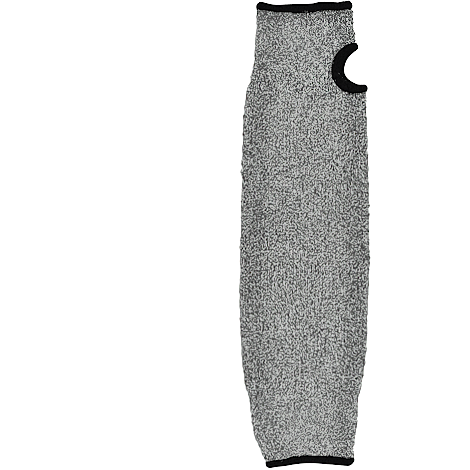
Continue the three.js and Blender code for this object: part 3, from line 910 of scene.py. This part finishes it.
def band_core(name, place, length, flip, material, node):
    """Core of one bound edge: the U profile carried round the edge. Its faces are turned over where the
    edge is followed the other way."""
    shape, binding = bpy.context.scene.sleeve_shape, bpy.context.scene.sleeve_binding
    inside = shape.wall / 2 + shape.band_slack
    profile = band_profile(inside + shape.band_leg - binding.thread_radius, inside)
    station_length = 0.0016
    stations, corners = int(length / station_length), len(profile)
    share = np.arange(stations)[:, None] / stations
    points = place(share, profile[None, :, 0], profile[None, :, 1] - shape.wall / 2)
    i, j = np.indices((stations, corners))
    following, beside = (i + 1) % stations, (j + 1) % corners
    order = [(i, j), (following, j), (following, beside), (i, beside)]
    quads = np.stack([a * corners + b for a, b in order], -1).reshape(-1, 4)
    flat = corner_places(i / stations, (i + 1) / stations, (j + 1) / corners, j / corners)
    if flip:
        quads, flat = quads[:, ::-1], flat[:, ::-1]
    piece = make_piece(name, points, quads, {"UVMap": flat}, material)
    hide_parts(node)
    return piece


def closed_thread(path, up, radius):
    """A closed thread: rings of corners round its path, joined end to end, their faces, and the faces'
    places on a map that runs along the thread and once round it."""
    looped = np.concatenate([path[-1:], path, path[:1]])
    hint = np.concatenate([up[-1:], up, up[:1]])
    rings = thread_rings(looped, hint, radius, radius)[1:-1]
    stations = len(path)
    i, side = np.indices((stations, RING))
    quads = ring_quads(i * RING, (i + 1) % stations * RING, side)
    return rings, quads, corner_places(i / stations, (i + 1) / stations, side / RING, (side + 1) / RING)


def loose_thread(name, path, up, radius, material):
    """A short open end of thread: rings of corners along its path. The radius is multiplied by the root
    of 1 minus 0.96 times the eighth power of the share of the way from the middle to an end."""
    share = np.linspace(-1, 1, len(path))[:, None]
    thin = radius * np.sqrt(1 - 0.96 * share ** 8)
    rings = thread_rings(path, up, thin, thin)[None]
    kept = np.ones((1, len(path) - 1), dtype=bool)
    quads = np.vstack([strip_quads(len(path), kept)[0], cap_quads(len(path), kept)[0]])
    flat = np.zeros((len(quads), 4, 2)) + np.array([(0, 0), (1, 0), (1, 1), (0, 1)])
    return make_piece(name, rings, quads, {"UVMap": flat}, material)


def thread_end(name, place, length, material):
    """The cut end of the hand binding's thread: it lies along the edge as far in as its table says, and
    rises and falls with the sine of a whole turn over its length."""
    radius = 1.5 * bpy.context.scene.sleeve_binding.thread_radius
    start, reach, rise, stations = 0.0045, 0.0075, 0.0004, 28
    t = np.linspace(0, 1, stations)
    share = (start + reach * t) / length
    inward = read_table(*TAIL_INWARD.T, t)
    proud = rise + rise * np.sin(TURN * t)
    path = place(share, inward, proud)
    up = path - place(share, inward + 0.002, proud - 0.001)
    return loose_thread(name, path, up, radius, material)


def caught_fibre(name, place, material):
    """A fibre of the yarn caught in the thumb binding: a small curl on its upper side, two thirds of a
    turn of a flat oval that opens a little."""
    shape = bpy.context.scene.sleeve_shape
    radius, from_arm, from_edge, over_face = 0.00024, 0.3790, 0.0014, 0.0001
    curl_share, curl_width, opens = 0.0045, 0.0006, 0.0001
    whole_angle, stations = 4.2, 18
    points = hole_outline(OUTLINE_STEPS)[0]
    spot = np.array([shape.hole_upper, from_arm])
    middle = np.argmin(((points - spot) ** 2).sum(1)) / len(points)
    angle = np.linspace(0, whole_angle, stations)
    share = middle + curl_share * np.sin(angle)
    inward = from_edge + curl_width * np.cos(angle) + opens * angle
    proud = np.full(len(angle), shape.band_slack + shape.band_leg + over_face)
    path = place(share, inward, proud)
    up = place(share, inward, proud + 0.001) - path
    return loose_thread(name, path, up, radius, material)


def looper_turn(over, border_height, bite, tip):
    """One turn of the looper's thread over a bound edge and back, as (inward, height over the wall's
    middle, how far it leans back along the edge, as a share of the lean)."""
    sinks = 0.0009
    half = np.vstack([[bite, border_height - sinks], BAND_RISE * (tip, over), LOOPER_FOLD * (1, over)])
    whole = np.vstack([half, (half[:-1] * (1, -1))[::-1]])
    lean = np.abs(1 - 2 * np.linspace(0, 1, len(whole)))
    down = np.column_stack([whole, lean])[:-1]
    back = np.column_stack([whole[::-1], lean])[:-1]
    return np.vstack([down, back])


def band_thread(name, place, length, material, seed):
    """Overlock thread of one bound edge: the looper's zigzag over the core and the needle's stitches.

    The looper thread bites into the knit at the band's inner border, crosses the upper side, goes
    round the edge and back under the lower side, and returns in the same way half a pitch further. Its
    place along the edge grows evenly, and leans back from the edge to the borders. The needle thread
    runs along the inner border, and its height follows the sine of its length over a stitch.
    """
    shape, binding = bpy.context.scene.sleeve_shape, bpy.context.scene.sleeve_binding
    bites_past, ends_past, behind_nose, ragged_over = 0.0010, 0.0001, 0.0004, 0.4
    needle_in, needle_sways, needle_rise, needle_dips = 0.0002, 0.0001, 0.45, 0.75
    random = np.random.default_rng(seed)
    radius, face = binding.thread_radius, shape.wall / 2
    over = face + shape.band_slack + shape.band_leg - radius
    bite, tip = shape.band + bites_past, shape.band + ends_past
    border_height = BAND_RISE[0, 1] * over
    once = looper_turn(over, border_height, bite, tip)
    turns = int(length / binding.thread_pitch)
    inward, height, lean = np.tile(once, (turns, 1)).T
    ragged = smooth_line(random, len(inward), len(once) * ragged_over) * binding.ragged
    way = np.arange(len(inward)) / len(once) * binding.thread_pitch + lean * binding.thread_lean
    share = way / (turns * binding.thread_pitch)
    inward = inward + ragged * (inward > tip)
    looper = place(share, inward, height - face)
    centre = place(share, np.maximum(inward, NOSE + behind_nose), np.full(len(inward), -face))
    rings, quads, flat = closed_thread(looper, looper - centre, radius)
    stitches, steps = int(length / binding.stitch_length), 5
    along = np.arange(stitches * steps) / (stitches * steps)
    dip = np.sin(TURN * along * stitches)
    line = tip - needle_in + needle_sways * dip
    sewn = border_height + radius * (needle_rise + needle_dips * dip) - face
    needle = place(along, line, sewn)
    under = place(along, line, sewn - 0.0005)
    more, more_quads, more_flat = closed_thread(needle, needle - under, radius * 0.9)
    points = np.vstack([rings.reshape(-1, 3), more.reshape(-1, 3)])
    quads = np.vstack([quads, more_quads + rings.size // 3])
    return make_piece(name, points, quads, {"UVMap": np.vstack([flat, more_flat])}, material)


class SLEEVE_OT_knit_yarn(bpy.types.Operator):
    """Knit the four lengthwise panels of yarn that stand for the knitted tube"""

    bl_idname = "sleeve.knit_yarn"
    bl_label = "Knit the yarn"

    def execute(self, context):
        knit = context.scene.sleeve_knit
        if knit.wales % len(PANELS):
            raise RuntimeError("the number of wales isn't a multiple of four")
        knitted = knit_paths()
        material = yarn_material()
        wales = knit.wales // len(PANELS)
        for number, name in enumerate(PANELS):
            piece = yarn_panel(name, number * wales, wales, knitted, material)
            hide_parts("knit_tube")
        return {"FINISHED"}


class SLEEVE_OT_edge_bindings(bpy.types.Operator):
    """Bind the two openings and the thumb hole with black overlock thread"""

    bl_idname = "sleeve.edge_bindings"
    bl_label = "Bind the edges"

    def execute(self, context):
        material = thread_material()
        # For each binding: the places along its edge, the edge's length, and if the core's faces turn over
        edges = {"hand_binding": (*end_edge(True), False), "arm_binding": (*end_edge(False), True),
                 "thumb_binding": (*hole_edge(), False)}
        for number, (node, (place, length, flip)) in enumerate(edges.items()):
            band_core(f"{node}_core", place, length, flip, material, node)
            band_thread(f"{node}_thread", place, length, material, LOOPER_SEED + number)
        thread_end("hand_binding_tail", *edges["hand_binding"][:2], material)
        caught_fibre("thumb_binding_fibre", edges["thumb_binding"][0], fibre_material())
        return {"FINISHED"}


# Painted shade: lays a thin dark sheet behind the yarn of both layers, for the shade in the stitches' gaps
class SLEEVE_OT_painted_shade_sheet(bpy.types.Operator):
    bl_idname = "sleeve.plaiting"
    bl_label = "Lay the plaiting"

    def execute(self, context):
        shape, knit = context.scene.sleeve_shape, context.scene.sleeve_knit
        columns, rows = 2 * knit.wales, 78
        half_thickness, behind_edge, behind_hole, depth_share = 0.00012, 0.0030, 0.0040, 0.9
        depth = knit.legs_under_face + depth_share * knit.loop_depth
        end = shape.band_slack + shape.band_leg + behind_edge
        along = np.linspace(end, shape.length - end, rows + 1)[:, None]
        share = np.arange(columns)[None, :] / columns
        faces = (half_thickness, -half_thickness)
        points = np.stack([place_round(share, along, -depth + face) for face in faces])
        mid_along = (along[1:] + along[:-1]) / 2
        kept = from_hole(around_at(share + 0.5 / columns, mid_along), mid_along) > behind_hole
        quads = web_quads(rows, columns, kept)
        layer, row, column = np.unravel_index(quads, (2, rows + 1, columns))
        wrapped = np.where((column == 0) & (column.max(1, keepdims=True) == columns - 1), columns, column)
        flat = np.stack([wrapped / columns, (row / rows + layer) / 2], -1)
        piece = make_piece("knit_painted_shade_sheet", points, quads, {"UVMap": flat}, painted_shade_sheet_material())
        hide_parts("knit_tube")
        return {"FINISHED"}


def web_quads(rows, columns, kept):
    """Faces of a thin closed web: the outer layer, the inner layer facing the other way, and a strip
    along every border of the kept cells, between the two layers."""
    def corner(layer, row, column):
        return (layer * (rows + 1) + row) * columns + column % columns

    row, column = np.nonzero(kept)
    outer = np.stack([corner(0, row, column), corner(0, row, column + 1),
                      corner(0, row + 1, column + 1), corner(0, row + 1, column)], 1)
    inner = outer[:, ::-1] + (rows + 1) * columns
    pad = np.pad(kept, ((1, 1), (0, 0)))
    borders = [
        (kept & ~pad[:-2], (0, 0), (0, 1)),
        (kept & ~pad[2:], (1, 1), (1, 0)),
        (kept & ~np.roll(kept, 1, axis=1), (1, 0), (0, 0)),
        (kept & ~np.roll(kept, -1, axis=1), (0, 1), (1, 1)),
    ]
    strips = []
    for open_side, start, end in borders:
        cell = np.nonzero(open_side)
        first, last = ((cell[0] + down, cell[1] + across) for down, across in (start, end))
        strips.append(np.stack([corner(0, *last), corner(0, *first), corner(1, *first), corner(1, *last)], 1))
    return np.vstack([outer, inner, *strips])[:, ::-1]


def sharpen_picture(scene):
    """Sends the render through a mild sharpening, as the photograph's own edges are sharpened."""
    strength = 0.16
    scene.use_nodes = True
    tree = scene.node_tree
    tree.nodes.clear()
    layers = tree.nodes.new("CompositorNodeRLayers")
    sharpen = tree.nodes.new("CompositorNodeFilter")
    sharpen.filter_type = "SHARPEN_DIAMOND"
    sharpen.inputs["Fac"].default_value = strength
    result = tree.nodes.new("CompositorNodeComposite")
    tree.links.new(layers.outputs["Image"], sharpen.inputs["Image"])
    tree.links.new(sharpen.outputs["Image"], result.inputs["Image"])


def lay_floor(scene, floor_colour):
    """A wide square floor that glows a little, at height 0."""
    half = 3.0
    corners = [(-half, -half, 0), (half, -half, 0), (half, half, 0), (-half, half, 0)]
    mesh = bpy.data.meshes.new("floor")
    mesh.from_pydata(corners, [], [(0, 1, 2, 3)])
    floor = bpy.data.objects.new("floor", mesh)
    scene.collection.objects.link(floor)
    glow = {"Emission Color": WHITE, "Emission Strength": 0.25}
    pale = new_finish("pale floor").finish(rgba(floor_colour), roughness=0.95, gloss=0.0, more=glow)
    mesh.materials.append(pale)


def light_evenly(scene, stage):
    """An even white sky, and a long lamp over the sleeve."""
    lamp_height, lamp_width, lamp_length = 1.5, 0.5, 1.4
    world = bpy.data.worlds.new("even light")
    world.use_nodes = True
    sky = world.node_tree.nodes["Background"]
    sky.inputs["Color"].default_value = WHITE
    sky.inputs["Strength"].default_value = stage.sky
    scene.world = world
    lamp = bpy.data.lights.new("overhead", "AREA")
    lamp.shape = "RECTANGLE"
    lamp.size = lamp_width
    lamp.size_y = lamp_length
    lamp.energy = stage.overhead
    overhead = bpy.data.objects.new("overhead", lamp)
    overhead.location = (0.0, 0.0, lamp_height)
    scene.collection.objects.link(overhead)


def set_camera(scene, stage):
    """A camera that looks straight down, with the sleeve on the right of its picture."""
    lens = bpy.data.cameras.new("camera")
    lens.lens = stage.lens
    lens.sensor_width = 36.0
    camera = bpy.data.objects.new("camera", lens)
    camera.location = (stage.camera_x, stage.camera_y, stage.camera_height)
    scene.collection.objects.link(camera)
    scene.camera = camera


class SLEEVE_OT_stage(bpy.types.Operator):
    """Lay the floor and set up the light and the camera"""

    bl_idname = "sleeve.stage"
    bl_label = "Set the stage"

    def execute(self, context):
        scene, stage = context.scene, context.scene.sleeve_stage
        lay_floor(scene, stage.floor)
        light_evenly(scene, stage)
        set_camera(scene, stage)
        scene.view_settings.view_transform = "Standard"
        scene.view_settings.look = "None"
        scene.cycles.filter_width = 1.0
        sharpen_picture(scene)
        return {"FINISHED"}


class SLEEVE_PT_parts(bpy.types.Panel):
    """The sleeve's operators and sizes"""

    bl_label = "Sleeve"
    bl_idname = "SLEEVE_PT_parts"
    bl_space_type = "VIEW_3D"
    bl_region_type = "UI"
    bl_category = "Sleeve"

    def draw(self, context):
        for operator in OPERATORS:
            self.layout.operator(operator.bl_idname)
        for name, group in GROUPS.items():
            box = self.layout.box()
            for field in group.__annotations__:
                box.prop(getattr(context.scene, name), field)


GROUPS = {
    "sleeve_shape": SleeveShape,
    "sleeve_knit": SleeveKnit,
    "sleeve_binding": SleeveBinding,
    "sleeve_stage": SleeveStage,
}
OPERATORS = (SLEEVE_OT_stage, SLEEVE_OT_knit_yarn, SLEEVE_OT_edge_bindings, SLEEVE_OT_painted_shade_sheet)


def register():
    """Makes the sizes, the operators and the panel known to Blender."""
    for name, group in GROUPS.items():
        bpy.utils.register_class(group)
        setattr(bpy.types.Scene, name, PointerProperty(type=group))
    for part in (*OPERATORS, SLEEVE_PT_parts):
        bpy.utils.register_class(part)


def unregister():
    """Takes them away again."""
    for part in (SLEEVE_PT_parts, *reversed(OPERATORS)):
        bpy.utils.unregister_class(part)
    for name, group in reversed(GROUPS.items()):
        delattr(bpy.types.Scene, name)
        bpy.utils.unregister_class(group)


def main():
    """Builds the sleeve and its stage."""
    register()
    bpy.ops.sleeve.stage()
    bpy.ops.sleeve.knit_yarn()
    bpy.ops.sleeve.edge_bindings()
    bpy.ops.sleeve.plaiting()


if __name__ == "__main__":
    main()
